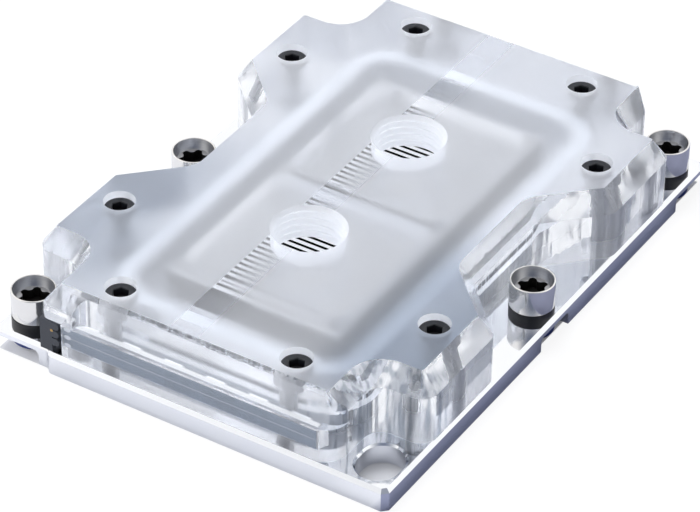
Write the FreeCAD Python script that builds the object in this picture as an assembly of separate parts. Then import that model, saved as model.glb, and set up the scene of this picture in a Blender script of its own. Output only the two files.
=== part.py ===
import FreeCAD, Part
import math
import os

# Liquid cooling cold plate for a narrow server socket.
# A plated base carries a fin field. A clear top with two threaded ports closes it, sealed by
# a moulded gasket and held by eight screws. Four captive nuts stand in pockets at the edges,
# and a lit strip with its header sits along the front edge of the top.
# Millimetres. X runs across the plate, Y along it and +Z up. The origin is the centre of the
# contact face.

V = FreeCAD.Vector
UP = V(0, 0, 1)

# Base plate
PLATE_WIDTH = 78.0
PLATE_LENGTH = 108.0
PLATE_THICKNESS = 4.2
PLATE_EDGE_CHAMFER = 0.65
PLATE_CORNER_CHAMFER = 1.0

# Socket interface: nuts on the mid sides and on two corners, guide slots on the other two
# corners, each set in from the plate's edges
NUT_INSET_X = 4.7
NUT_INSET_Y = 6.5
GUIDE_INSET_X = 4.9
GUIDE_INSET_Y = 6.2
GUIDE_RADIUS = 3.7
GUIDE_TRAVEL = 1.7
GUIDE_CHAMFER = 0.35
TAB_THICKNESS = 1.5
RELIEF_CLEARANCE = 0.55
RELIEF_CHAMFER = 0.6

# Set-back of the front edge beside the header, with a curved ramp back to the full length
SETBACK_DEPTH = 1.0
SETBACK_PAST_NUT = 6.0
SETBACK_RAMP = 1.9

# Captive nuts
NUT_RADIUS = 3.95
NUT_HEIGHT = 6.35
SHANK_RADIUS = 2.9
SHANK_END = 0.6
NUT_RIM = 0.3
RECESS_DEPTH = 1.8
RECESS_FLOOR_RADIUS = 2.95
LOBE_COUNT = 6
LOBE_TIP_RADIUS = 2.8
LOBE_VALLEY_RADIUS = 2.0
LOBE_ROUND = 0.6
LOBE_STEPS = 4
LOBE_SOCKET_DEPTH = 2.0
STUD_RADIUS = 1.65
STUD_DEPTH = 5.0
WASHER_THICKNESS = 1.25
RING_RADIUS = 4.05
RING_HEIGHT = 1.9
RING_SLIT = 1.6

# Running and seating clearances
RUNNING_CLEARANCE = 0.06
AXIAL_PLAY = 0.1
SNUG_CLEARANCE = 0.02
SEAT_CLEARANCE = 0.05

# Clear top: outer form, kept clear of the plate's edges and of the nuts
TOP_HEIGHT = 13.0
TOP_END_MARGIN = 2.65
TOP_SIDE_MARGIN = 0.4
NUT_GAP_SIDE = 1.65
NUT_GAP_END = 2.55
LOBE_START = 20.0
LOBE_CORNER_RADIUS = 3.1
END_POCKET_RADIUS = 3.3
MID_POCKET_RADIUS = 2.3
END_CORNER_RADIUS = 3.0
BEVEL_RUN = 2.7
BEVEL_DROP = 3.8
END_EDGE_CHAMFER = 0.55
BEVEL_LEAST_RADIUS = 0.3

# Clear top: front ledge, and the cover at its left end that keeps the full depth over the header
LEDGE_HEIGHT = 6.6
LEDGE_DEPTH = 1.95
LEDGE_CORNER_RADIUS = 4.0
HEADER_ROOM = 4.1
COVER_WIDTH = 6.4
COVER_CORNER_RADIUS = 1.6
STEP_END_RADIUS = 2.5

# Cover screws, set in from the lobes and from the ends
LOBE_SCREW_INSET_X = 7.45
LOBE_SCREW_INSET_Y = 14.2
END_SCREW_INSET_X = 11.5
END_SCREW_INSET_Y = 5.0
SCREW_RADIUS = 1.5
SCREW_TIP = 1.0
SCREW_HEAD_RADIUS = 2.7
SCREW_HEAD_HEIGHT = 3.0
SCREW_HEAD_SINK = 1.2
KEY_SIDES = 6
SCREW_KEY_WIDTH = 2.5
SCREW_KEY_DEPTH = 1.5
COUNTERBORE_CLEARANCE = 0.1
SCREW_HOLE_CLEARANCE = 0.2
SCREW_TIP_CLEARANCE = 0.4

# Gasket, inside the end screws and the body's side walls
GROOVE_SCREW_MARGIN = 3.15
GROOVE_SIDE_WALL = 4.4
GROOVE_LAND = 1.2
GROOVE_WIDTH = 2.6
GROOVE_DEPTH = 3.4
GROOVE_CORNER_RADIUS = 4.2

# Clear top: coolant spaces
CAVITY_DEPTH = 3.85
CAVITY_CORNER_RADIUS = 4.0
PLENUM_SIDE_STEP = 4.5
PLENUM_END_STEP = 8.4
PLENUM_DEPTH = 6.4
PLENUM_CORNER_RADIUS = 3.0
RIB_THICKNESS = 1.9
PORT_SPACING = 32.0
PORT_RADIUS = 5.9
PORT_MOUTH_RADIUS = 6.68

# Fin field
FIN_SIDE_MARGIN = 3.5
FIN_END_MARGIN = 5.9
FIN_FOOT = 0.8
FIN_THICKNESS = 0.77
FIN_GAP = 0.6

# Lit strip and its header
BOARD_END_MARGIN = 3.8
BOARD_HEIGHT = 3.7
BOARD_THICKNESS = 1.0
BOARD_RISE = 1.9
BOARD_COVER = 1.0
SLOT_CLEARANCE = 0.1
SLOT_END_GAP = 0.3
LED_COUNT = 6
LED_WIDTH = 3.5
LED_HEIGHT = 2.8
LED_DEPTH = 1.4
HEADER_WIDTH = 2.4
HEADER_DEPTH = 2.8
HEADER_HEIGHT = 6.2
HEADER_SET_IN = 0.1
POSITION_COUNT = 3
POSITION_PITCH = 1.6
POSITION_WIDTH = 1.4
POSITION_HEIGHT = 1.4
POSITION_CHAMFER = 0.4
LEG_SIZE = 0.5
LEG_LENGTH = 0.6
HEADER_CLEARANCE = 0.5

# Levels and places that follow from the sizes above
MARGIN = 5.0
FULL_TURN = 360.0
DECK = PLATE_THICKNESS
TOP_FACE = DECK + TOP_HEIGHT
BEVEL_BASE = TOP_FACE - BEVEL_DROP
RELIEF_RADIUS = RING_RADIUS + RELIEF_CLEARANCE
NUT_X = PLATE_WIDTH / 2 - NUT_INSET_X
NUT_Y = PLATE_LENGTH / 2 - NUT_INSET_Y
NUT_PLACES = [(-NUT_X, -NUT_Y), (NUT_X, NUT_Y), (-NUT_X, 0.0), (NUT_X, 0.0)]
GUIDE_X = PLATE_WIDTH / 2 - GUIDE_INSET_X
GUIDE_Y = PLATE_LENGTH / 2 - GUIDE_INSET_Y
GUIDE_PLACES = [(GUIDE_X, -GUIDE_Y), (-GUIDE_X, GUIDE_Y)]
BODY_X = NUT_X - NUT_RADIUS - NUT_GAP_SIDE
BODY_Y = PLATE_LENGTH / 2 - TOP_END_MARGIN
LOBE_X = PLATE_WIDTH / 2 - TOP_SIDE_MARGIN
LOBE_END = NUT_Y - NUT_RADIUS - NUT_GAP_END
FRONT_WALL = -BODY_Y
LEDGE_FRONT = FRONT_WALL - LEDGE_DEPTH
LEDGE_LEFT = -BODY_X + HEADER_ROOM
LOBE_SCREW = (LOBE_X - LOBE_SCREW_INSET_X, LOBE_END - LOBE_SCREW_INSET_Y)
END_SCREW = (BODY_X - END_SCREW_INSET_X, BODY_Y - END_SCREW_INSET_Y)
SCREW_SEAT = TOP_FACE - SCREW_HEAD_SINK - SCREW_HEAD_HEIGHT
CAVITY_WIDTH = 2 * (BODY_X - GROOVE_SIDE_WALL - GROOVE_WIDTH - GROOVE_LAND)
CAVITY_LENGTH = 2 * (END_SCREW[1] - GROOVE_SCREW_MARGIN - GROOVE_WIDTH - GROOVE_LAND)
PLENUM_WIDTH = CAVITY_WIDTH - 2 * PLENUM_SIDE_STEP
PLENUM_END = CAVITY_LENGTH / 2 - PLENUM_END_STEP
PORT_PLACES = [(0.0, -PORT_SPACING / 2), (0.0, PORT_SPACING / 2)]
FIN_FIELD_WIDTH = CAVITY_WIDTH - 2 * FIN_SIDE_MARGIN
FIN_FIELD_LENGTH = CAVITY_LENGTH - 2 * FIN_END_MARGIN
BOARD_END = BODY_X - BOARD_END_MARGIN
BOARD_FRONT = LEDGE_FRONT + BOARD_COVER + SLOT_CLEARANCE
BOARD_FLOOR = DECK + BOARD_RISE
BOARD_MIDDLE = BOARD_FLOOR + BOARD_HEIGHT / 2
LED_PITCH = (BOARD_END - LEDGE_LEFT) / LED_COUNT
HEADER_FRONT = LEDGE_FRONT + HEADER_SET_IN


def save(shape, node):
    """Write one sub-part as a STEP file named after its node."""
    shape.exportStep("parts/" + node + ".step")


def rounded_wire(corners, z):
    """Closed wire at height z through corners (x, y, radius), each rounded by a tangent arc."""
    edges = []
    spans = []
    count = len(corners)
    for i in range(count):
        before = V(*corners[i - 1][:2], z)
        here = V(*corners[i][:2], z)
        after = V(*corners[(i + 1) % count][:2], z)
        radius = corners[i][2]
        to_before = (before - here).normalize()
        to_after = (after - here).normalize()
        half = to_before.getAngle(to_after) / 2
        reach = radius / math.tan(half)
        centre = here + (to_before + to_after).normalize() * (radius / math.sin(half))
        middle = centre + (here - centre).normalize() * radius
        spans.append((here + to_before * reach, middle, here + to_after * reach))
    for i in range(count):
        start, middle, end = spans[i]
        edges.append(Part.Arc(start, middle, end).toShape())
        edges.append(Part.LineSegment(end, spans[(i + 1) % count][0]).toShape())
    return Part.Wire(edges)


def slab(wire, height):
    """Solid made by raising a closed flat wire."""
    return Part.Face(wire).extrude(UP * height)


def rectangle(width, length, radius, x=0.0, y=0.0):
    """Corners of a rounded rectangle about (x, y)."""
    w, l = width / 2, length / 2
    return [(x - w, y - l, radius), (x + w, y - l, radius), (x + w, y + l, radius), (x - w, y + l, radius)]


def box(x0, x1, y0, y1, z0, z1):
    """Box between two corners."""
    return Part.makeBox(x1 - x0, y1 - y0, z1 - z0, V(x0, y0, z0))


def cylinder(radius, x, y, z0, z1):
    """Upright cylinder between two levels."""
    return Part.makeCylinder(radius, z1 - z0, V(x, y, z0))


def turned(profile, x, y):
    """Solid of revolution about the upright line through (x, y), from (radius, z) points."""
    points = [V(x + r, y, z) for r, z in profile]
    face = Part.Face(Part.makePolygon(points + points[:1]))
    return face.revolve(V(x, y, 0), UP, FULL_TURN)


# Base plate

def plate_outline():
    """Plate outline at the contact face, with corner chamfers and the front set-back."""
    w, l, c = PLATE_WIDTH / 2, PLATE_LENGTH / 2, PLATE_CORNER_CHAMFER
    back = -l + SETBACK_DEPTH
    ramp_start = -NUT_X + SETBACK_PAST_NUT
    ramp_end = ramp_start + SETBACK_RAMP
    ramp_middle = V((ramp_start + ramp_end) / 2, (back - l) / 2, 0)
    bend = (SETBACK_RAMP ** 2 + SETBACK_DEPTH ** 2) / (4 * SETBACK_DEPTH)
    turn = math.asin(SETBACK_RAMP / 2 / bend) / 2
    sag_x, sag_y = bend * math.sin(turn), bend * (1 - math.cos(turn))
    first = Part.Arc(V(ramp_start, back, 0), V(ramp_start + sag_x, back - sag_y, 0), ramp_middle)
    second = Part.Arc(ramp_middle, V(ramp_end - sag_x, -l + sag_y, 0), V(ramp_end, -l, 0))
    points = [V(ramp_end, -l, 0), V(w - c, -l, 0), V(w, -l + c, 0), V(w, l - c, 0),
              V(w - c, l, 0), V(-w + c, l, 0), V(-w, l - c, 0), V(-w, back + c, 0),
              V(-w + c, back, 0), V(ramp_start, back, 0)]
    edges = [Part.LineSegment(a, b).toShape() for a, b in zip(points, points[1:])]
    return Part.Wire(edges + [first.toShape(), second.toShape()])


def nut_relief(x, y):
    """Space under the tab of one nut, open towards the plate's edge and, at a corner, its end.

    The wall follows the nut's axis at RELIEF_RADIUS, and a chamfer joins it to the ceiling."""
    ceiling = DECK - TAB_THICKNESS
    r = RELIEF_RADIUS
    side = math.copysign(1.0, x)
    out_x = side * (PLATE_WIDTH / 2 + MARGIN)
    if y == 0.0:
        points = [V(out_x, -r, -MARGIN), V(x, -r, -MARGIN), V(x, r, -MARGIN), V(out_x, r, -MARGIN)]
        bend = V(x - side * r, 0, -MARGIN)
    else:
        end = math.copysign(1.0, y)
        out_y = end * (PLATE_LENGTH / 2 + MARGIN)
        points = [V(out_x, y - end * r, -MARGIN), V(x, y - end * r, -MARGIN), V(x - side * r, y, -MARGIN),
                  V(x - side * r, out_y, -MARGIN), V(out_x, out_y, -MARGIN)]
        bend = V(x - side * r * math.cos(math.pi / 4), y - end * r * math.sin(math.pi / 4), -MARGIN)
    edges = [Part.LineSegment(points[0], points[1]).toShape()]
    edges.append(Part.Arc(points[1], bend, points[2]).toShape())
    rest = points[2:] + points[:1]
    edges += [Part.LineSegment(a, b).toShape() for a, b in zip(rest, rest[1:])]
    tool = slab(Part.Wire(edges), ceiling + MARGIN)
    axis = V(x, y, ceiling)
    near = r + SEAT_CLEARANCE
    rim = [e for e in tool.Edges if all(abs(v.Z - ceiling) < SEAT_CLEARANCE for v in e.Vertexes)
           and any(v.Point.distanceToPoint(axis) < near for v in e.Vertexes)]
    return tool.makeChamfer(RELIEF_CHAMFER, rim)


def screw_places():
    """Places of the eight cover screws: four through the lobes, four through the ends."""
    places = []
    for dx, dy in (LOBE_SCREW, END_SCREW):
        for sx, sy in ((-1, -1), (1, -1), (-1, 1), (1, 1)):
            places.append((sx * dx, sy * dy))
    return places


def slot_wire(x, y, radius, z):
    """Round-ended slot outline along Y at height z."""
    low, high = y - GUIDE_TRAVEL / 2, y + GUIDE_TRAVEL / 2
    right = Part.LineSegment(V(x + radius, low, z), V(x + radius, high, z))
    top = Part.Arc(V(x + radius, high, z), V(x, high + radius, z), V(x - radius, high, z))
    left = Part.LineSegment(V(x - radius, high, z), V(x - radius, low, z))
    bottom = Part.Arc(V(x - radius, low, z), V(x, low - radius, z), V(x + radius, low, z))
    return Part.Wire([right.toShape(), top.toShape(), left.toShape(), bottom.toShape()])


def guide_slot(x, y):
    """Through slot for a guide post, flared at both faces."""
    flare = GUIDE_RADIUS + GUIDE_CHAMFER
    sections = [slot_wire(x, y, flare, 0), slot_wire(x, y, GUIDE_RADIUS, GUIDE_CHAMFER),
                slot_wire(x, y, GUIDE_RADIUS, DECK - GUIDE_CHAMFER), slot_wire(x, y, flare, DECK)]
    return Part.makeLoft(sections, True, True)


def base_plate():
    """Plated base with chamfered rim, guide slots, nut tabs and blind screw holes."""
    plate = slab(plate_outline(), PLATE_THICKNESS)
    rim = [e for e in plate.Edges if min(v.Z for v in e.Vertexes) > DECK - SEAT_CLEARANCE]
    plate = plate.makeChamfer(PLATE_EDGE_CHAMFER, rim)
    hole_bottom = SCREW_TIP - SCREW_TIP_CLEARANCE
    cuts = [nut_relief(x, y) for x, y in NUT_PLACES]
    for x, y in NUT_PLACES:
        cuts.append(cylinder(SHANK_RADIUS + RUNNING_CLEARANCE, x, y, -MARGIN, DECK + MARGIN))
    cuts += [guide_slot(x, y) for x, y in GUIDE_PLACES]
    for x, y in screw_places():
        cuts.append(cylinder(SCREW_RADIUS + SNUG_CLEARANCE, x, y, hole_bottom, DECK + MARGIN))
    return plate.cut(cuts)


def fin_field():
    """Fins across the plate on one foot, cut by evenly spaced slots."""
    w, l = FIN_FIELD_WIDTH / 2, FIN_FIELD_LENGTH / 2
    height = CAVITY_DEPTH - SEAT_CLEARANCE
    block = box(-w, w, -l, l, DECK, DECK + height)
    pitch = FIN_THICKNESS + FIN_GAP
    count = int((FIN_FIELD_LENGTH - FIN_THICKNESS) / pitch)
    first = -(count - 1) / 2 * pitch
    slots = []
    for i in range(count):
        y = first + i * pitch
        slots.append(box(-w - MARGIN, w + MARGIN, y - FIN_GAP / 2, y + FIN_GAP / 2,
                         DECK + FIN_FOOT, DECK + height + MARGIN))
    return block.cut(slots)


# Clear top

def top_outline(inset, z):
    """Outline of the clear top at height z, with its sides drawn in by inset.

    The lobes' inner flanks run at 45 degrees from the body to the lobe's outer wall, so a side
    drawn in by an amount moves each flank by that amount square to itself. Outward corners
    lose the inset from their radius and inward corners gain it."""
    body = BODY_X - inset
    lobe = LOBE_X - inset
    end = BODY_Y
    lobe_end = LOBE_END - inset
    flank = LOBE_X - LOBE_START
    flank_at_lobe = lobe - flank + inset * math.sqrt(2)
    flank_at_body = body - flank + inset * math.sqrt(2)
    outward = max(LOBE_CORNER_RADIUS - inset, BEVEL_LEAST_RADIUS)
    corner = max(END_CORNER_RADIUS - inset, BEVEL_LEAST_RADIUS)
    right = [(body, -end, corner), (body, -lobe_end, END_POCKET_RADIUS + inset),
             (lobe, -lobe_end, outward), (lobe, -flank_at_lobe, outward),
             (body, -flank_at_body, MID_POCKET_RADIUS + inset)]
    right += [(x, -y, r) for x, y, r in reversed(right)]
    left = [(-x, -y, r) for x, y, r in right]
    return rounded_wire(right + left, z)


def end_chamfers():
    """Prisms that take off the long top edges at the front and the back, between the corner rounds.

    They have the slope of the header cover's front bevel, so the front edge runs on in its plane."""
    c = END_EDGE_CHAMFER
    drop = c * BEVEL_DROP / (LEDGE_DEPTH + c)
    reach = BODY_X - BEVEL_RUN - BEVEL_LEAST_RADIUS
    prisms = []
    for side in (-1, 1):
        points = [V(-reach, side * (BODY_Y - 2 * c), TOP_FACE + drop),
                  V(-reach, side * (BODY_Y + c), TOP_FACE - 2 * drop),
                  V(-reach, side * (BODY_Y + c), TOP_FACE + drop)]
        face = Part.Face(Part.makePolygon(points + points[:1]))
        prisms.append(face.extrude(V(2 * reach, 0, 0)))
    return prisms


def front_ledge():
    """Low block along the front that holds the lit strip, rounded at its right end."""
    inside = FRONT_WALL + END_CORNER_RADIUS + LEDGE_CORNER_RADIUS
    corners = [(LEDGE_LEFT, LEDGE_FRONT, BEVEL_LEAST_RADIUS), (BODY_X, LEDGE_FRONT, LEDGE_CORNER_RADIUS),
               (BODY_X, inside, BEVEL_LEAST_RADIUS), (LEDGE_LEFT, inside, BEVEL_LEAST_RADIUS)]
    return slab(rounded_wire(corners, DECK), LEDGE_HEIGHT)


def header_cover():
    """Left end of the front, which keeps the ledge's depth up to the top and is bevelled like the sides.

    The step above the ledge ends against it in the cutter's own round."""
    small = BEVEL_LEAST_RADIUS
    inside = FRONT_WALL + 2 * END_CORNER_RADIUS
    step = -BODY_X + COVER_WIDTH
    right = step + 2 * STEP_END_RADIUS
    sections = []
    for in_x, in_y, radius, z in ((0.0, 0.0, COVER_CORNER_RADIUS, DECK),
                                  (0.0, 0.0, COVER_CORNER_RADIUS, BEVEL_BASE),
                                  (BEVEL_RUN, LEDGE_DEPTH + END_EDGE_CHAMFER, small, TOP_FACE)):
        left, front = -BODY_X + in_x, LEDGE_FRONT + in_y
        corners = [(left, front, radius), (right, front, small),
                   (right, inside, small), (left, inside, small)]
        sections.append(rounded_wire(corners, z))
    block = Part.makeLoft(sections, True, True)
    ledge_top = DECK + LEDGE_HEIGHT
    far, out = right + MARGIN, LEDGE_FRONT - MARGIN
    corners = [(step, out, small), (far, out, small),
               (far, FRONT_WALL, small), (step, FRONT_WALL, STEP_END_RADIUS)]
    return block.cut(slab(rounded_wire(corners, ledge_top), TOP_FACE + MARGIN - ledge_top))


def cover_corner():
    """Body's front left corner, which the header cover takes over."""
    return box(-BODY_X - MARGIN, -BODY_X + BEVEL_RUN + 2 * BEVEL_LEAST_RADIUS, LEDGE_FRONT - MARGIN,
               FRONT_WALL + END_CORNER_RADIUS + BEVEL_LEAST_RADIUS, DECK - MARGIN, TOP_FACE + MARGIN)


def header_undercut():
    """Notch under the front left corner that leaves room for the header."""
    back = HEADER_FRONT + HEADER_DEPTH + HEADER_CLEARANCE
    return box(-BODY_X - MARGIN, LEDGE_LEFT, LEDGE_FRONT - MARGIN, back, DECK - MARGIN, DECK + LEDGE_HEIGHT)


def strip_slot():
    """Slot for the lit strip, open at its left end."""
    front = BOARD_FRONT - SLOT_CLEARANCE
    back = BOARD_FRONT + BOARD_THICKNESS + LED_DEPTH + SLOT_CLEARANCE
    return box(LEDGE_LEFT - MARGIN, BOARD_END + SLOT_END_GAP, front, back,
               BOARD_FLOOR, BOARD_FLOOR + BOARD_HEIGHT + SLOT_CLEARANCE)


def groove_outline(offset):
    """Rounded rectangle that stands off the cavity's wall by offset."""
    return rectangle(CAVITY_WIDTH + 2 * offset, CAVITY_LENGTH + 2 * offset, GROOVE_CORNER_RADIUS + offset)


def gasket_groove():
    """Ring-shaped groove round the cavity, cut from below."""
    depth = GROOVE_DEPTH + MARGIN
    outer = slab(rounded_wire(groove_outline(GROOVE_LAND + GROOVE_WIDTH), DECK - MARGIN), depth)
    inner = slab(rounded_wire(groove_outline(GROOVE_LAND), DECK - MARGIN), depth)
    return outer.cut(inner)


def coolant_spaces():
    """Cavity over the fins, and a plenum over each half that leaves the dividing rib."""
    depth = CAVITY_DEPTH + MARGIN
    cavity = rectangle(CAVITY_WIDTH, CAVITY_LENGTH, CAVITY_CORNER_RADIUS)
    spaces = [slab(rounded_wire(cavity, DECK - MARGIN), depth)]
    length = PLENUM_END - RIB_THICKNESS / 2
    middle = (PLENUM_END + RIB_THICKNESS / 2) / 2
    for side in (-1, 1):
        plenum = rectangle(PLENUM_WIDTH, length, PLENUM_CORNER_RADIUS, 0.0, side * middle)
        spaces.append(slab(rounded_wire(plenum, DECK), PLENUM_DEPTH))
    return spaces


def port_bore(x, y):
    """Threaded port down to its plenum, at the thread's minor radius, with a flared mouth."""
    flare = PORT_MOUTH_RADIUS - PORT_RADIUS
    floor = DECK + PLENUM_DEPTH - SEAT_CLEARANCE
    return turned([(0, floor), (PORT_RADIUS, floor), (PORT_RADIUS, TOP_FACE - flare),
                   (PORT_MOUTH_RADIUS, TOP_FACE), (0, TOP_FACE)], x, y)


def acrylic_top():
    """Clear top: a bevelled loft with lobes, the front ledge and cover, and everything cut from it."""
    sections = [top_outline(0.0, DECK), top_outline(0.0, BEVEL_BASE), top_outline(BEVEL_RUN, TOP_FACE)]
    body = Part.makeLoft(sections, True, True)
    body = body.cut(end_chamfers() + [cover_corner()]).fuse([front_ledge(), header_cover()]).removeSplitter()
    cuts = coolant_spaces() + [gasket_groove(), header_undercut(), strip_slot()]
    cuts += [port_bore(x, y) for x, y in PORT_PLACES]
    for x, y in screw_places():
        cuts.append(cylinder(SCREW_RADIUS + SCREW_HOLE_CLEARANCE, x, y, DECK - MARGIN, TOP_FACE + MARGIN))
        cuts.append(cylinder(SCREW_HEAD_RADIUS + COUNTERBORE_CLEARANCE, x, y, SCREW_SEAT, TOP_FACE + MARGIN))
    return body.cut(cuts)


def main_gasket():
    """Moulded gasket that fills the groove's depth."""
    far = GROOVE_LAND + GROOVE_WIDTH - SEAT_CLEARANCE
    near = GROOVE_LAND + SEAT_CLEARANCE
    outer = slab(rounded_wire(groove_outline(far), DECK), GROOVE_DEPTH)
    inner = slab(rounded_wire(groove_outline(near), DECK), GROOVE_DEPTH)
    return outer.cut(inner)


# Screws and captive nuts

def cover_screw(x, y):
    """Socket head screw with a hexagonal key socket."""
    head = SCREW_SEAT + SCREW_HEAD_HEIGHT
    screw = turned([(0, SCREW_TIP), (SCREW_RADIUS, SCREW_TIP), (SCREW_RADIUS, SCREW_SEAT),
                    (SCREW_HEAD_RADIUS, SCREW_SEAT), (SCREW_HEAD_RADIUS, head), (0, head)], x, y)
    step = 2 * math.pi / KEY_SIDES
    reach = SCREW_KEY_WIDTH / 2 / math.cos(step / 2)
    points = [V(x + reach * math.cos(k * step), y + reach * math.sin(k * step), head - SCREW_KEY_DEPTH)
              for k in range(KEY_SIDES)]
    socket = slab(Part.makePolygon(points + points[:1]), SCREW_KEY_DEPTH + MARGIN)
    return screw.cut(socket)


def six_lobe_wire(x, y, z):
    """Six-lobed socket outline, lobes outward and valleys inward, its rounds drawn by chords.

    A lobe's centre is at a - e and a valley's at b + r, where a and b are the tip and valley
    radii, e is the lobe's own radius and r the valley's. They touch when the distance between
    their centres, half a lobe's step apart, is e + r, which gives r. The valleys are shallow, so
    one point stands for each; a lobe is LOBE_STEPS chords between its two points of touch."""
    a, b, e = LOBE_TIP_RADIUS, LOBE_VALLEY_RADIUS, LOBE_ROUND
    half = math.pi / LOBE_COUNT
    c = math.cos(half)
    r = ((a - e) ** 2 + b ** 2 - 2 * (a - e) * b * c - e ** 2) / (2 * (a - e) * c + 2 * e - 2 * b)
    touch = math.atan2((b + r) * math.sin(half), (b + r) * c - (a - e))
    points = []
    for k in range(LOBE_COUNT):
        angle = 2 * k * half
        centre_x = x + (a - e) * math.cos(angle)
        centre_y = y + (a - e) * math.sin(angle)
        for i in range(LOBE_STEPS + 1):
            turn = angle + touch * (2 * i / LOBE_STEPS - 1)
            points.append(V(centre_x + e * math.cos(turn), centre_y + e * math.sin(turn), z))
        points.append(V(x + b * math.cos(angle + half), y + b * math.sin(angle + half), z))
    return Part.makePolygon(points + points[:1])


def captive_nut(x, y):
    """Sleeve nut: driven from above by six lobes, threaded from below for the socket's stud."""
    top = DECK + NUT_HEIGHT
    skirt = DECK + WASHER_THICKNESS + AXIAL_PLAY
    floor = top - RECESS_DEPTH
    mouth = NUT_RADIUS - NUT_RIM
    ring = RECESS_FLOOR_RADIUS
    nut = turned([(0, SHANK_END), (SHANK_RADIUS, SHANK_END), (SHANK_RADIUS, skirt), (NUT_RADIUS, skirt),
                  (NUT_RADIUS, top), (mouth, top), (ring, floor), (0, floor)], x, y)
    socket = slab(six_lobe_wire(x, y, floor - LOBE_SOCKET_DEPTH), LOBE_SOCKET_DEPTH + MARGIN)
    return nut.cut([socket, cylinder(STUD_RADIUS, x, y, SHANK_END - MARGIN, SHANK_END + STUD_DEPTH)])


def nut_washer(x, y):
    """Washer on the deck, round the nut's shank."""
    bore = cylinder(SHANK_RADIUS + RUNNING_CLEARANCE, x, y, DECK - MARGIN, DECK + MARGIN)
    return cylinder(NUT_RADIUS, x, y, DECK, DECK + WASHER_THICKNESS).cut(bore)


def retaining_ring(x, y):
    """Split ring on the shank under the tab, which keeps the nut on the plate."""
    top = DECK - TAB_THICKNESS - AXIAL_PLAY
    ring = cylinder(RING_RADIUS, x, y, top - RING_HEIGHT, top)
    bore = cylinder(SHANK_RADIUS + SNUG_CLEARANCE, x, y, top - RING_HEIGHT - MARGIN, top + MARGIN)
    inward = -math.copysign(1.0, x)
    x0, x1 = sorted((x, x + inward * (RING_RADIUS + MARGIN)))
    slit = box(x0, x1, y - RING_SLIT / 2, y + RING_SLIT / 2, top - RING_HEIGHT - MARGIN, top + MARGIN)
    return ring.cut([bore, slit])


# Lit strip and header

def led_board():
    """Circuit board that stands on edge in the ledge's slot."""
    return box(LEDGE_LEFT, BOARD_END, BOARD_FRONT, BOARD_FRONT + BOARD_THICKNESS,
               BOARD_FLOOR, BOARD_FLOOR + BOARD_HEIGHT)


def led(index):
    """One light-emitting package on the board's inner face."""
    x = LEDGE_LEFT + (index + 0.5) * LED_PITCH
    back = BOARD_FRONT + BOARD_THICKNESS
    return box(x - LED_WIDTH / 2, x + LED_WIDTH / 2, back, back + LED_DEPTH,
               BOARD_MIDDLE - LED_HEIGHT / 2, BOARD_MIDDLE + LED_HEIGHT / 2)


def position_level(index):
    """Height of one contact position's middle, counted from below."""
    return BOARD_MIDDLE + (index - (POSITION_COUNT - 1) / 2) * POSITION_PITCH


def led_header():
    """Header housing on the deck, with one chamfered lug for each contact position."""
    lug_end = LEDGE_LEFT - LEG_LENGTH
    lug_start = lug_end - POSITION_WIDTH
    front, back = HEADER_FRONT, HEADER_FRONT + HEADER_DEPTH
    housing = box(lug_start - HEADER_WIDTH, lug_start, front, back, DECK, DECK + HEADER_HEIGHT)
    lugs = []
    for i in range(POSITION_COUNT):
        level = position_level(i)
        half, c = POSITION_HEIGHT / 2, POSITION_CHAMFER
        points = [V(lug_start, front, level - half), V(lug_end - c, front, level - half),
                  V(lug_end, front, level - half + c), V(lug_end, front, level + half - c),
                  V(lug_end - c, front, level + half), V(lug_start, front, level + half)]
        lug = Part.Face(Part.makePolygon(points + points[:1])).extrude(V(0, HEADER_DEPTH, 0))
        lugs.append(lug)
    return housing.fuse(lugs).removeSplitter()


def header_leg(index):
    """Contact leg from one lug to the end of the board."""
    level = position_level(index)
    y = BOARD_FRONT + BOARD_THICKNESS / 2
    half = LEG_SIZE / 2
    return box(LEDGE_LEFT - LEG_LENGTH, LEDGE_LEFT, y - half, y + half, level - half, level + half)


os.makedirs("parts", exist_ok=True)
save(base_plate(), "base_plate")
save(fin_field(), "fin_field")
save(acrylic_top(), "acrylic_top")
save(main_gasket(), "main_gasket")
for number, place in enumerate(screw_places(), 1):
    save(cover_screw(*place), "cover_screw_%d" % number)
for number, place in enumerate(NUT_PLACES, 1):
    save(captive_nut(*place), "captive_nut_%d" % number)
    save(nut_washer(*place), "nut_washer_%d" % number)
    save(retaining_ring(*place), "retaining_ring_%d" % number)
save(led_board(), "led_board")
for number in range(LED_COUNT):
    save(led(number), "led_%d" % (number + 1))
save(led_header(), "led_header")
for number in range(POSITION_COUNT):
    save(header_leg(number), "header_leg_%d" % (number + 1))
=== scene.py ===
import math

import bmesh
import bpy
import numpy as np
from mathutils import Matrix, Vector


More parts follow.
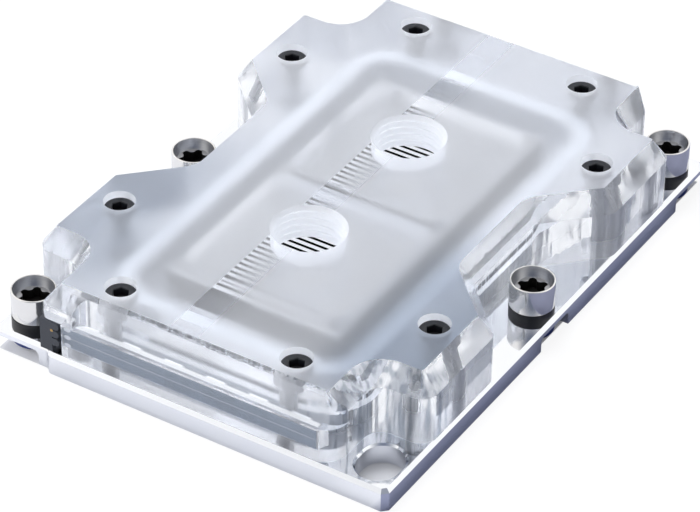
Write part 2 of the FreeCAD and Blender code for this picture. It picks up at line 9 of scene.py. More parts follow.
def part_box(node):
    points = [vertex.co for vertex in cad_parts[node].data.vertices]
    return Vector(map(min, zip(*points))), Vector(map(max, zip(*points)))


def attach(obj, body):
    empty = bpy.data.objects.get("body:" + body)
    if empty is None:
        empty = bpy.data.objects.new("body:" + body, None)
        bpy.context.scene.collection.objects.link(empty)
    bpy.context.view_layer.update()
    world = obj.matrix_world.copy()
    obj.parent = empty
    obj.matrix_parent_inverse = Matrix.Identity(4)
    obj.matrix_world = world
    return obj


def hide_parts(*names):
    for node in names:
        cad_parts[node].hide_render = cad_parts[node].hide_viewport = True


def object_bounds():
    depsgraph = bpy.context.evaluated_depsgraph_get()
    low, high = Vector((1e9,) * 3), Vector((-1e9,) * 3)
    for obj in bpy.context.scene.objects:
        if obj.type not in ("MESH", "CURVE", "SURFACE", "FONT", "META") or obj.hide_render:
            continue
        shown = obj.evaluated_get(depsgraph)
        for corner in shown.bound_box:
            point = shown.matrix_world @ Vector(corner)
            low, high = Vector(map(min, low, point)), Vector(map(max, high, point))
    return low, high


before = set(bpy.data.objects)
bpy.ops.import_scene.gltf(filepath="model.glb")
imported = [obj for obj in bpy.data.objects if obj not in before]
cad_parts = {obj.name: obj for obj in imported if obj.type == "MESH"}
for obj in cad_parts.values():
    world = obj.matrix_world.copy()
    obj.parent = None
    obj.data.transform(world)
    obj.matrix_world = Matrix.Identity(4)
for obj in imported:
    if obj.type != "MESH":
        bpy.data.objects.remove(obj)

MM = 0.001
bpy.context.view_layer.update()
cad_box = [list(corner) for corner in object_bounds()]

# Camera: a long lens above the plate's right front corner, rolled by less than
# a degree, as in the photograph. Right, down and forward are its own axes.

camera_data = bpy.data.cameras.new("camera")
camera_data.sensor_width = 36.0
camera_data.lens = 194.08
camera_data.clip_start = 0.01
camera_data.clip_end = 20.0
camera = bpy.data.objects.new("camera", camera_data)
bpy.context.collection.objects.link(camera)
camera_right = Vector((0.84564, 0.53368, 0.0094))
camera_down = Vector((0.32666, -0.50352, -0.79985))
camera_forward = Vector((-0.42213, 0.67945, -0.60013))
camera_place = Vector((274.006, -443.95, 392.704)) * MM
camera_turn = Matrix((camera_right, -camera_down, -camera_forward)).transposed().to_4x4()
camera.matrix_world = Matrix.Translation(camera_place) @ camera_turn
bpy.context.scene.camera = camera
bpy.context.scene.view_settings.view_transform = "Standard"

# Light inside clear acrylic is turned back many times before it leaves, so the
# paths may be longer than usual.

light_paths = bpy.context.scene.cycles
light_paths.max_bounces = 20
light_paths.glossy_bounces = 12
light_paths.transmission_bounces = 18

# Table: a plain pale sheet, nearly white where the camera sees it, and it keeps the plate's soft shadow.
# Mirrors see it pale grey, with a painted shadow, a darker lilac grey, past the plate's right side, as in
# the photograph.

TABLE_HALF = 3.0
TABLE_GLOW = 1.1
WHITE_BESIDE = 0.8
WHITE_BELOW = 0.1
SHADE_FROM = 0.036
SHADE_TO = 0.0385
TIMES = {"operation": "MULTIPLY"}
COLOUR = {"data_type": "RGBA"}


def linear(hex_colour):
    """Linear RGBA of an sRGB hex colour.

    A channel c gives c / 12.92 up to 0.04045, and ((c + 0.055) / 1.055) ^ 2.4 above it."""
    values = [int(hex_colour[i:i + 2], 16) / 255 for i in (1, 3, 5)]
    return [c / 12.92 if c <= 0.04045 else ((c + 0.055) / 1.055) ** 2.4 for c in values] + [1.0]


def add(tree, kind, settings=None, **inputs):
    """Add one node with its settings, and give each named input a value, an output or a node's first output.

    An input written as _1 is the node's input number 1."""
    node = tree.nodes.new("ShaderNode" + kind)
    for name, value in (settings or {}).items():
        setattr(node, name, value)
    for name, value in inputs.items():
        socket = node.inputs[int(name[1:])] if name[1:].isdigit() else node.inputs[name.replace("_", " ")]
        if isinstance(value, bpy.types.Node):
            value = next(output for output in value.outputs if output.enabled)
        if isinstance(value, bpy.types.NodeSocket):
            tree.links.new(value, socket)
        else:
            socket.default_value = value
    return node


def new_material(name):
    """An empty material and its node tree."""
    material = bpy.data.materials.new(name)
    material.use_nodes = True
    material.node_tree.nodes.clear()
    return material, material.node_tree


sheet_corners = [(-TABLE_HALF, -TABLE_HALF, 0), (TABLE_HALF, -TABLE_HALF, 0),
                 (TABLE_HALF, TABLE_HALF, 0), (-TABLE_HALF, TABLE_HALF, 0)]
table_mesh = bpy.data.meshes.new("table")
table_mesh.from_pydata(sheet_corners, [], [(0, 1, 2, 3)])
table = bpy.data.objects.new("table", table_mesh)
bpy.context.collection.objects.link(table)

# Pale sheet: matt, so it darkens softly under the plate and mirrors nothing.
pale_sheet, tree = new_material("pale_sheet")
seen = add(tree, "LightPath").outputs["Is Camera Ray"]
apart = add(tree, "SeparateXYZ", Vector=add(tree, "TexCoord").outputs["Object"]).outputs
# Painted shadow: rays other than the camera's see the sheet in a darker lilac grey past the plate's right
# side.
rightward = add(tree, "MapRange", Value=apart["X"], From_Min=SHADE_FROM, From_Max=SHADE_TO)
mirrored = add(tree, "Math", {"operation": "SUBTRACT"}, _0=1.0, _1=seen)
painted_shadow = add(tree, "Math", TIMES, _0=rightward, _1=mirrored)
tone = add(tree, "Mix", COLOUR, _0=painted_shadow, _6=linear("#D8D9DD"), _7=linear("#888CA2"))
sheet = add(tree, "BsdfDiffuse", Color=tone)
white = add(tree, "Emission", Color=(1, 1, 1, 1), Strength=TABLE_GLOW)
outside = []
for letter, reach in (("X", cad_box[1][0]), ("Y", cad_box[1][1])):
    away = add(tree, "Math", {"operation": "ABSOLUTE"}, _0=apart[letter])
    outside.append(add(tree, "Math", {"operation": "GREATER_THAN"}, _0=away, _1=reach - MM))
beyond = add(tree, "Math", {"operation": "MAXIMUM"}, _0=outside[0], _1=outside[1])
whiteness = add(tree, "MapRange", Value=beyond, To_Min=WHITE_BELOW, To_Max=WHITE_BESIDE)
share = add(tree, "Math", TIMES, _0=seen, _1=whiteness)
shown = add(tree, "MixShader", Fac=share, _1=sheet, _2=white)
add(tree, "OutputMaterial", Surface=shown)
table_mesh.materials.append(pale_sheet)

# Studio: a white tent. Mirrors and clear pieces see a cool grey opening on the
# camera's side, and three soft boxes give the light its direction.

OPENING_DIRECTION = (0.42, -0.68, 0.6)
OPENING_EDGE = (0.6, 0.98)
TENT_MIRRORED = 1.1
TENT_AROUND = 0.45

tent = bpy.data.worlds.new("white_tent")
tent.use_nodes = True
bpy.context.scene.world = tent
tree = tent.node_tree
tree.nodes.clear()
way = add(tree, "TexCoord").outputs["Generated"]
facing = add(tree, "VectorMath", {"operation": "DOT_PRODUCT"}, _0=way, _1=OPENING_DIRECTION)
opening = add(tree, "ValToRGB", Fac=facing.outputs["Value"])
opening_tones = ((1, 1, 1, 1), linear("#6E7688"))
for stop, position, tone in zip(opening.color_ramp.elements, OPENING_EDGE, opening_tones):
    stop.position = position
    stop.color = tone
mirrored = add(tree, "Background", Color=opening, Strength=TENT_MIRRORED)
around = add(tree, "Background", Color=linear("#EEF1FA"), Strength=TENT_AROUND)
behind = add(tree, "Background", Color=(1, 1, 1, 1), Strength=1.0)
path = add(tree, "LightPath").outputs
shiny = add(tree, "Math", {"operation": "MAXIMUM"}, _0=path["Is Glossy Ray"], _1=path["Is Transmission Ray"])
lit = add(tree, "MixShader", Fac=shiny, _1=around, _2=mirrored)
shown = add(tree, "MixShader", Fac=path["Is Camera Ray"], _1=lit, _2=behind)
add(tree, "OutputWorld", Surface=shown)


def soft_box(name, place, width, height, power):
    """A rectangular lamp at place, in metres, turned towards the plate and hidden from mirrors."""
    lamp = bpy.data.lights.new(name, "AREA")
    lamp.shape = "RECTANGLE"
    lamp.size = width
    lamp.size_y = height
    lamp.energy = power
    box = bpy.data.objects.new(name, lamp)
    box.location = place
    box.rotation_euler = (-Vector(place)).to_track_quat("-Z", "Y").to_euler()
    box.visible_glossy = False
    box.visible_transmission = False
    bpy.context.collection.objects.link(box)


soft_box("box_overhead", (-0.35, 0.2, 0.85), width=0.6, height=0.6, power=7.2)
soft_box("box_left", (-0.9, -0.35, 0.4), width=0.5, height=0.5, power=7.0)
soft_box("box_front", (0.1, -0.9, 0.3), width=0.5, height=0.4, power=3.0)

# Base plate and fins: copper, milled, then nickel plated bright. The plating
# mirrors the studio, and the cutter's faint marks still ripple the mirror.

FIN_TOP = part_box("fin_field")[1][2]
CREST_DEPTH = 0.05
FIN_PATCH = 2.0
FIN_RELIEF = 0.003


def plated(name, dark, light, roughness, patch_mm, ripple_mm, ripple_depth_mm):
    """Mirror plating: tint and roughness drift over patches, and a fine ripple follows the surface."""
    material, tree = new_material(name)
    place = add(tree, "TexCoord").outputs["Object"]
    patches = add(tree, "TexNoise", Vector=place, Scale=1 / (patch_mm * MM), Detail=3.0)
    rough = add(tree, "MapRange", Value=patches, To_Min=roughness * 0.6, To_Max=roughness * 1.5)
    tint = add(tree, "Mix", COLOUR, _0=patches, _6=linear(dark), _7=linear(light))
    ripple = add(tree, "TexNoise", Vector=place, Scale=1 / (ripple_mm * MM), Detail=2.0)
    relief = add(tree, "Bump", Height=ripple, Strength=1.0, Distance=ripple_depth_mm * MM)
    metal = add(tree, "BsdfPrincipled", Base_Color=tint, Roughness=rough, Metallic=1.0, Normal=relief)
    add(tree, "OutputMaterial", Surface=metal)
    return material


def dress(node, material):
    """Give a CAD node its finish."""
    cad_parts[node].data.materials[0] = material


# Bright nickel: close to a mirror, a little cool. The cutter's marks under it
# are 0.1 mm or less apart, and are drawn 0.7 mm wide so that lines waver.
nickel = plated("bright_nickel_plate", "#EEF0F5", "#F6F7F9", roughness=0.05, patch_mm=9.0,
                ripple_mm=0.7, ripple_depth_mm=0.0015)
dress("base_plate", nickel)

# Fins: bright crests between slots in painted shade, which read as stripes from above. The nickel below the
# crests is painted dark grey as the shade down in the slots.
fins, tree = new_material("nickel_plated_fins")
place = add(tree, "TexCoord").outputs["Object"]
level = add(tree, "SeparateXYZ", Vector=place).outputs["Z"]
crest = add(tree, "Math", {"operation": "GREATER_THAN"}, _0=level, _1=FIN_TOP - CREST_DEPTH * MM)
patches = add(tree, "TexNoise", Vector=place, Scale=1 / (FIN_PATCH * MM), Detail=3.0)
bright = add(tree, "Mix", COLOUR, _0=patches, _6=linear("#F4F5F7"), _7=linear("#FBFBFC"))
# Painted shade: below the crests the nickel is a dark grey.
tint = add(tree, "Mix", COLOUR, _0=crest, _6=linear("#66686C"), _7=bright)
relief = add(tree, "Bump", Height=patches, Strength=1.0, Distance=FIN_RELIEF * MM)
metal = add(tree, "BsdfPrincipled", Base_Color=tint, Roughness=0.16, Metallic=1.0, Normal=relief)
add(tree, "OutputMaterial", Surface=metal)
dress("fin_field", fins)

# Gasket: pale silicone, moulded in one ring. It fills its groove in the clear
# top and shows through it as a soft pale band, matt and slightly grained.

SILICONE_GRAIN = 0.8
SILICONE_DEPTH = 0.02

silicone, tree = new_material("pale_silicone")
place = add(tree, "TexCoord").outputs["Object"]
grain = add(tree, "TexNoise", Vector=place, Scale=1 / (SILICONE_GRAIN * MM), Detail=2.0)
relief = add(tree, "Bump", Height=grain, Strength=0.4, Distance=SILICONE_DEPTH * MM)
body = add(tree, "BsdfPrincipled", Base_Color=linear("#CDD1D6"), Roughness=0.45, Normal=relief)
add(tree, "OutputMaterial", Surface=body)
dress("main_gasket", silicone)

# Clear top: cast acrylic, milled to a bevelled block. Its top face has a satin
# finish that fades in across a polished window. Its walls are polished, its
# holes stay as drilled, and its ports as tapped, which looks white.


def axis(node):
    """Place (x, y) of a turned node's own line, the middle of its box, in mm."""
    low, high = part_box(node)
    return (low[0] + high[0]) / 2 / MM, (low[1] + high[1]) / 2 / MM


# Levels and places in mm. FILM is how far a touching face stands off its
# neighbour: deck, gasket, screw seats and strip, each with its own side.
TOP_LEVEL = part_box("acrylic_top")[1][2] / MM
BEVEL_LEVEL = 13.4
GROOVE_CEILING = 7.6
FILM = 0.02
TOUCHING = ((4.2, 1), (GROOVE_CEILING, 1), (13.0, -1), (6.1, -1))
WINDOW_HALF = 4.5
PORTS = ((0.0, -16.0), (0.0, 16.0))
PORT_REACH = 6.7
PORT_FLOOR = 10.6
SCREWS = [axis("cover_screw_%d" % number) for number in range(1, 9)]
SCREW_REACH = 2.85
LEDGE_LEVEL = 10.8
LEDGE_FRONT = -53.3
STEP_WALL = -51.35
UNDERCUT_RIGHT = -24.6
UNDERCUT_BACK = -49.8
RIB_HALF = 1.3
RIB_REACH = 20.0
NEAR = 0.1

# Threads of the ports: G1/4, cut short of the crests.
THREAD_PITCH = 1.337
THREAD_CREST = 5.93
THREAD_ROOT = 6.52
THREAD_LEVELS = (9.8, 18.2)
THREAD_FLAT = 0.12
THREAD_STEPS = 12
THREAD_COLUMNS = 96

# Finish: the cutter's lines on the bevel are about 0.1 mm apart, and are drawn
# coarser because finer ones don't show. Its upright streaks are 1 mm wide.
CLEAR = "#F8FAFE"
ACRYLIC_IOR = 1.49
MILL_LINE = 0.3
MILL_DEPTH = 0.002
STREAK_WIDTH = 1.0
STREAK_STRETCH = 0.08
STREAK_EDGE = (0.46, 0.6)
STREAK_LEAST = 0.15
# Where the streaks' painted shade is plain: the right front pocket.
CORNER_BACK = (-28.0, -38.0)
CORNER_LEFT = (14.0, 19.0)
CORNER_FRONT = -51.0
# Where the top face's painted shade lies: the two front lobes, weaker on the left one.
LOBE_SIDE = (16.0, 26.0)
LOBE_BACK = (8.0, -16.0)
LOBE_FRONT = (-56.0, -42.0)
LEFT_SHARE = 0.68


def region(tree, *limits):
    """Share that is 1 inside several soft limits.

    Each is a coordinate and its two places in mm, between which the share rises from 0 to 1."""
    share = None
    for coordinate, (start, end) in limits:
        part = add(tree, "MapRange", {"interpolation_type": "SMOOTHSTEP"}, Value=coordinate,
                   From_Min=start * MM, From_Max=end * MM)
        share = part if share is None else add(tree, "Math", TIMES, _0=share, _1=part)
    return share


def streak_painted_shade(tree, apart, streaks):
    """Painted shade along the cutter's streaks: a grey tint in the clear acrylic, plain in the right front
    pocket and faint elsewhere.
    """
    pocket = region(tree, (apart["Y"], CORNER_BACK), (apart["X"], CORNER_LEFT))
    before = add(tree, "Math", {"operation": "GREATER_THAN"}, _0=apart["Y"], _1=CORNER_FRONT * MM)
    pocket = add(tree, "Math", TIMES, _0=pocket, _1=before)
    depth = add(tree, "MapRange", Value=pocket, To_Min=STREAK_LEAST, To_Max=1.0)
    veil = add(tree, "MapRange", Value=streaks, From_Min=STREAK_EDGE[0], From_Max=STREAK_EDGE[1])
    share = add(tree, "Math", TIMES, _0=veil, _1=depth)
    return add(tree, "Mix", COLOUR, _0=share, _6=linear(CLEAR), _7=linear("#868F9B"))


def lobe_painted_shade(tree, apart):
    """Painted shade on the top face: a grey-blue tint on the two front lobes, a little weaker on the left
    one.
    """
    aside = add(tree, "Math", {"operation": "ABSOLUTE"}, _0=apart["X"])
    lobes = region(tree, (aside, LOBE_SIDE), (apart["Y"], LOBE_BACK), (apart["Y"], LOBE_FRONT))
    sided = add(tree, "MapRange", Value=apart["X"], From_Min=-MM, From_Max=MM, To_Min=LEFT_SHARE, To_Max=1.0)
    share = add(tree, "Math", TIMES, _0=lobes, _1=sided)
    return add(tree, "Mix", COLOUR, _0=share, _6=linear(CLEAR), _7=linear("#A6B0BE"))


def acrylic(name, roughness, white, fading=None, lobes=False, chatter=0.0):
    """Clear acrylic that lets lamps through. White is its cloud's share, and chatter its streaks' depth and
    their painted shade.

    Fading gives the roughness and the cloud that it reaches at the window's right side. Lobes gives the top
    face's front lobes their painted shade."""
    material, tree = new_material(name)
    place = add(tree, "TexCoord").outputs["Object"]
    apart = add(tree, "SeparateXYZ", Vector=place).outputs
    turn = add(tree, "Math", TIMES, _0=apart["Z"], _1=2 * math.pi / (MILL_LINE * MM))
    wave = add(tree, "Math", {"operation": "SINE"}, _0=turn)
    bevelled = add(tree, "Math", {"operation": "GREATER_THAN"}, _0=apart["Z"], _1=BEVEL_LEVEL * MM)
    lines = add(tree, "Math", TIMES, _0=wave, _1=bevelled)
    upright = add(tree, "Mapping", Vector=place, Scale=(1.0, 1.0, STREAK_STRETCH))
    streaks = add(tree, "TexNoise", Vector=upright, Scale=1 / (STREAK_WIDTH * MM), Detail=1.0)
    rippled = add(tree, "Bump", Height=streaks, Strength=1.0, Distance=chatter * MM)
    relief = add(tree, "Bump", Height=lines, Strength=1.0, Distance=MILL_DEPTH * MM, Normal=rippled)
    tone = cloud_tone = linear(CLEAR)
    if chatter:
        tone = streak_painted_shade(tree, apart, streaks)
    if lobes:
        tone = cloud_tone = lobe_painted_shade(tree, apart)
    if fading:
        across = {"Value": apart["X"], "From_Min": -WINDOW_HALF * MM, "From_Max": WINDOW_HALF * MM}
        roughness = add(tree, "MapRange", **across, To_Min=roughness, To_Max=fading[0])
        white = add(tree, "MapRange", **across, To_Min=white, To_Max=fading[1])
    glass = add(tree, "BsdfPrincipled", Base_Color=tone, Roughness=roughness, IOR=ACRYLIC_IOR,
                Transmission_Weight=1.0, Normal=relief)
    thrown = add(tree, "BsdfDiffuse", Color=cloud_tone)
    passed = add(tree, "BsdfTranslucent", Color=cloud_tone)
    cloud = add(tree, "MixShader", Fac=0.5, _1=thrown, _2=passed)
    clouded = add(tree, "MixShader", Fac=white, _1=glass, _2=cloud)
    through = add(tree, "BsdfTransparent", Color=linear("#F6F7F9"))
    shadow = add(tree, "LightPath").outputs["Is Shadow Ray"]
    shown = add(tree, "MixShader", Fac=shadow, _1=clouded, _2=through)
    add(tree, "OutputMaterial", Surface=shown)
    return material


def node_triangles(node):
    """Points (n, 3) in metres and triangles (m, 3) of a CAD node, with doubled points merged."""
    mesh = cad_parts[node].data
    points = np.empty(len(mesh.vertices) * 3)
    mesh.vertices.foreach_get("co", points)
    corners = np.empty(len(mesh.loops), int)
    mesh.loops.foreach_get("vertex_index", corners)
    grid = np.round(points.reshape(-1, 3) / 1e-7).astype(int)
    first, place = np.unique(grid, axis=0, return_index=True, return_inverse=True)[1:]
    triangles = place.reshape(-1)[corners].reshape(-1, 3)
    whole = (triangles[:, 0] != triangles[:, 1]) & (triangles[:, 1] != triangles[:, 2])
    whole &= triangles[:, 2] != triangles[:, 0]
    return points.reshape(-1, 3)[first], triangles[whole]


def piece(name, mesh, body, slot, *nodes):
    """An object of the scene at the origin, which rides on a body and stands for CAD nodes."""
    item = bpy.data.objects.new(name, mesh)
    bpy.context.collection.objects.link(item)
    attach(item, body)
    if nodes:
        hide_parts(*nodes)
    return item


def smooth(mesh, sharp_degrees):
    """Shade a mesh smooth, apart from edges sharper than an angle."""
    mesh.shade_smooth()
    mesh.set_sharp_from_angle(angle=math.radians(sharp_degrees))


def turned(name, rings, x, y, columns):
    """Closed mesh turned about the upright line through (x, y), in mm.

    A ring is (radius, level), and its radius is a number or one number for each column. Point j of ring i
    is at angle j / columns of a turn. Quads join neighbouring rings, and the first and last rings close
    on a point at their centre. Its map holds the share of a turn and the length along the profile in mm."""
    radii = np.array([np.broadcast_to(radius, columns) for radius, level in rings], float)
    levels = np.array([level for radius, level in rings], float)
    count = len(rings)
    angle = np.arange(columns) / columns * 2 * np.pi
    points = np.stack([x + radii * np.cos(angle), y + radii * np.sin(angle),
                       np.repeat(levels[:, None], columns, axis=1)], -1).reshape(-1, 3)
    points = np.concatenate([points, [[x, y, levels[0]], [x, y, levels[-1]]]]) * MM
    i, j = np.meshgrid(np.arange(count - 1), np.arange(columns), indexing="ij")
    after = (j + 1) % columns
    quads = np.stack([i * columns + j, i * columns + after, (i + 1) * columns + after,
                      (i + 1) * columns + j], -1).reshape(-1, 4)
    j = np.arange(columns)
    after = (j + 1) % columns
    top = (count - 1) * columns
    first = np.stack([after, j, np.full(columns, count * columns)], -1)
    last = np.stack([top + j, top + after, np.full(columns, count * columns + 1)], -1)
    mesh = bpy.data.meshes.new(name)
    mesh.from_pydata(points.tolist(), [], quads.tolist() + first.tolist() + last.tolist())
    run = np.hypot(np.diff(radii.mean(axis=1)), np.diff(levels))
    length = np.concatenate([[0.0], np.cumsum(run)])
    side = np.stack(np.meshgrid(np.arange(columns) / columns, length), -1)
    ahead = side + [1 / columns, 0]
    quad_map = np.stack([side[:-1], ahead[:-1], ahead[1:], side[1:]], 2)
    first_map = np.stack([ahead[0], side[0], side[0]], 1)
    last_map = np.stack([side[-1], ahead[-1], side[-1]], 1)
    corners = [part.reshape(-1) for part in (quad_map, first_map, last_map)]
    mesh.uv_layers.new(name="turning").uv.foreach_set("vector", np.concatenate(corners))
    return mesh


def tap(name, x, y):
    """Threaded plug that is taken from the top to leave a tapped port.

    At angle a and level z the phase is z / pitch - a / turn. The radius follows a triangle wave of the phase
    from the crest to the root, with both ends of the wave cut flat."""
    low, high = THREAD_LEVELS
    levels = np.linspace(low, high, int((high - low) / THREAD_PITCH * THREAD_STEPS))
    share = np.arange(THREAD_COLUMNS) / THREAD_COLUMNS
    phase = (levels[:, None] / THREAD_PITCH - share[None, :]) % 1.0
    wave = np.clip((1 - np.abs(2 * phase - 1) - THREAD_FLAT) / (1 - 2 * THREAD_FLAT), 0, 1)
    radii = THREAD_CREST + (THREAD_ROOT - THREAD_CREST) * wave
    plug = bpy.data.objects.new(name, turned(name, list(zip(radii, levels)), x, y, THREAD_COLUMNS))
    bpy.context.collection.objects.link(plug)
    return plug


points, triangles = node_triangles("acrylic_top")
for level, side in TOUCHING:
    there = np.abs(points[:, 2] - level * MM) < 0.1 * FILM * MM
    points[there, 2] += side * FILM * MM
block_mesh = bpy.data.meshes.new("clear_top")
block_mesh.from_pydata(points.tolist(), [], triangles.tolist())
top = piece("clear_top", block_mesh, "block", "clear_acrylic", "acrylic_top")
plugs = [tap("tap_%d" % number, x, y) for number, (x, y) in enumerate(PORTS)]
for plug in plugs:
    cut = top.modifiers.new(plug.name, "BOOLEAN")
    cut.operation = "DIFFERENCE"
    cut.solver = "EXACT"
    cut.object = plug
top.data = bpy.data.meshes.new_from_object(top.evaluated_get(bpy.context.evaluated_depsgraph_get()))
top.data.name = "clear_top"
top.modifiers.clear()
for plug in plugs:
    bpy.data.objects.remove(plug)

# The top face is cut along both sides of the window, so that it has its own faces.
shape = bmesh.new()
shape.from_mesh(top.data)
for side in (-1, 1):
    parts = shape.verts[:] + shape.edges[:] + shape.faces[:]
    bmesh.ops.bisect_plane(shape, geom=parts, dist=1e-7, plane_co=(side * WINDOW_HALF * MM, 0, 0),
                           plane_no=(1, 0, 0))
shape.to_mesh(top.data)
shape.free()
smooth(top.data, 28)
top.modifiers.new("flat_faces", "WEIGHTED_NORMAL").keep_sharp = True

MILLED, DRILLED, TAPPED, SATIN, WINDOW, STEPPED, SAWN, POLISHED = range(8)
centres = np.empty(len(top.data.polygons) * 3)
top.data.polygons.foreach_get("center", centres)
x_mm, y_mm, z_mm = centres.reshape(-1, 3).T / MM
normals = np.empty(len(top.data.polygons) * 3)
top.data.polygons.foreach_get("normal", normals)
level_face = np.abs(normals.reshape(-1, 3)[:, 2]) > 0.95
finish = np.where(level_face, POLISHED, MILLED)
for x, y in SCREWS:
    finish[np.hypot(x_mm - x, y_mm - y) < SCREW_REACH] = DRILLED
for x, y in PORTS:
    inside = np.hypot(x_mm - x, y_mm - y) < PORT_REACH
    finish[inside & (z_mm > PORT_FLOOR + FILM) & (z_mm < TOP_LEVEL - FILM)] = TAPPED
face = (z_mm > TOP_LEVEL - FILM) & (finish == POLISHED)
finish[face] = SATIN
finish[face & (np.abs(x_mm) < WINDOW_HALF)] = WINDOW
at_ledge = np.abs(z_mm - LEDGE_LEVEL) < NEAR
finish[at_ledge & (x_mm < UNDERCUT_RIGHT) & (y_mm < UNDERCUT_BACK)] = DRILLED
finish[level_face & (np.abs(z_mm - GROOVE_CEILING - FILM) < NEAR / 3)] = STEPPED
finish[(np.abs(y_mm - STEP_WALL) < NEAR) & (z_mm > LEDGE_LEVEL - NEAR)] = STEPPED
finish[level_face & at_ledge & (y_mm < STEP_WALL) & (finish == POLISHED)] = STEPPED
rib = (np.abs(y_mm) < RIB_HALF) & (np.abs(x_mm) < RIB_REACH) & (z_mm < PORT_FLOOR + NEAR)
finish[rib & ~level_face] = STEPPED
finish[y_mm < LEDGE_FRONT + NEAR] = SAWN

# In the order of the finishes above. Polished and milled faces show what is behind them, the milled ones
# through upright streaks, which carry a painted shade. Drilled and tapped ones are white and blunt, and
# satin lets the fins and the rib show only as blurs, with a painted shade on its front lobes.
for material in (acrylic("milled_acrylic", 0.05, white=0.05, chatter=0.08),
                 acrylic("drilled_acrylic", 0.45, white=0.6),
                 acrylic("tapped_acrylic", 0.5, white=0.66),
                 acrylic("satin_acrylic", 0.4, white=0.3, lobes=True),
                 acrylic("window_acrylic", 0.08, white=0.12, fading=(0.4, 0.3)),
                 acrylic("step_acrylic", 0.2, white=0.25),
                 acrylic("sawn_acrylic", 0.13, white=0.1),
                 acrylic("polished_acrylic", 0.05, white=0.04)):
    top.data.materials.append(material)
top.data.polygons.foreach_set("material_index", finish)

# Cover screws: socket head screws, turned, knurled and blackened. A hexagon
# socket with a bevelled mouth takes the key.

SCREW_COLUMNS = 96
SCREW_SEAT = 13.0
SCREW_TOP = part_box("cover_screw_1")[1][2] / MM
KNURL_DEPTH = 0.05
KEY_HALF = 1.25
KEY_BEVEL = 0.13


def speckled(name, dark, light, roughness, grain_mm, detail=3.0, metallic=0.0, depth_mm=0.0):
    """Two close tones over a fine grain. Roughness is a number, or the pair that the grain spans.

    A depth makes the grain a relief too."""
    material, tree = new_material(name)
    place = add(tree, "TexCoord").outputs["Object"]
    grain = add(tree, "TexNoise", Vector=place, Scale=1 / (grain_mm * MM), Detail=detail)
    tone = add(tree, "Mix", COLOUR, _0=grain, _6=linear(dark), _7=linear(light))
    inputs = {"Base_Color": tone, "Roughness": roughness, "Metallic": metallic}
    if isinstance(roughness, tuple):
        inputs["Roughness"] = add(tree, "MapRange", Value=grain, To_Min=roughness[0], To_Max=roughness[1])
    if depth_mm:
        inputs["Normal"] = add(tree, "Bump", Height=grain, Strength=1.0, Distance=depth_mm * MM)
    add(tree, "OutputMaterial", Surface=add(tree, "BsdfPrincipled", **inputs))
    return material


def hexagon(columns, half_width):
    """Radius of a hexagon at each column.

    It is half the width over the cosine of the angle from the middle of the nearest side."""
    angle = np.arange(columns) / columns * 2 * np.pi
    return half_width / np.cos(angle % (np.pi / 3) - np.pi / 6)


# Black oxide: nearly black, with a dull sheen along the rim. Its grain is finer
# than 0.1 mm, and is drawn at 0.5 mm so that it shows.
blackened = speckled("black_oxide_steel", "#101113", "#26282D", roughness=(0.28, 0.42), grain_mm=0.5,
                     detail=4.0, metallic=0.2)
knurl = 2.7 - KNURL_DEPTH * (np.arange(SCREW_COLUMNS) % 2)
key = hexagon(SCREW_COLUMNS, KEY_HALF)
# From the tip up: shank, seat, knurled head, rounded rim, bevelled key socket.
screw_rings = [(0.9, 1.0), (1.25, 1.0), (1.5, 1.25), (1.5, 12.85), (1.62, SCREW_SEAT), (2.6, SCREW_SEAT),
               (2.7, 13.1), (knurl, 13.2), (knurl, 15.55), (2.7, 15.65), (2.68, 15.8), (2.6, 15.92),
               (2.48, 15.98), (2.35, SCREW_TOP), (key + KEY_BEVEL, SCREW_TOP), (key, 15.87), (key, 14.5),
               (0.4, 14.2)]
for number, (x, y) in enumerate(SCREWS, 1):
    mesh = turned("screw_%d" % number, screw_rings, x, y, SCREW_COLUMNS)
    smooth(mesh, 35)
    mesh.materials.append(blackened)
    piece("screw_%d" % number, mesh, "block", "black_steel", "cover_screw_%d" % number)

# Captive nuts: turned steel, nickel plated, with a coned mouth over a
# six-lobed socket. A black nylon washer carries each on the deck, and a split
# blue ring under the tab keeps it there.

NUTS = [axis("captive_nut_%d" % number) for number in range(1, 5)]
# Share of a turn that each nut's socket is turned by.
NUT_TURNS = (0.02, 0.0, 0.05, 0.006)
NUT_COLUMNS = 144
NUT_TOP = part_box("captive_nut_1")[1][2] / MM
LOBE_TIP = 2.8
LOBE_VALLEY = 2.0
LOBE_ROUND = 0.6
LOBE_BEVEL = 0.08


def six_lobes(columns, turn):
    """Radius of the six-lobed socket at each column.

    A lobe is an arc of radius e about a point a - e from the axis, and a valley an arc of radius r about a
    point b + r away, 30 degrees on. They touch where their centres are e + r apart, which gives r."""
    a, b, e = LOBE_TIP, LOBE_VALLEY, LOBE_ROUND
    half = np.pi / 6
    c = np.cos(half)
    r = ((a - e) ** 2 + b ** 2 - 2 * (a - e) * b * c - e ** 2) / (2 * (a - e) * c + 2 * e - 2 * b)
    angle = (np.arange(columns) / columns + turn) * 2 * np.pi
    off = np.abs((angle + half) % (2 * half) - half)
    touch = np.array([(b + r) * c - (a - e), (b + r) * np.sin(half)]) * e / (e + r) + [a - e, 0]
    edge = np.arctan2(touch[1], touch[0])
    lobe = (a - e) * np.cos(off) + np.sqrt(np.maximum(e ** 2 - ((a - e) * np.sin(off)) ** 2, 0))
    rest = half - off
    valley = (b + r) * np.cos(rest) - np.sqrt(np.maximum(r ** 2 - ((b + r) * np.sin(rest)) ** 2, 0))
    return np.where(off < edge, lobe, valley)


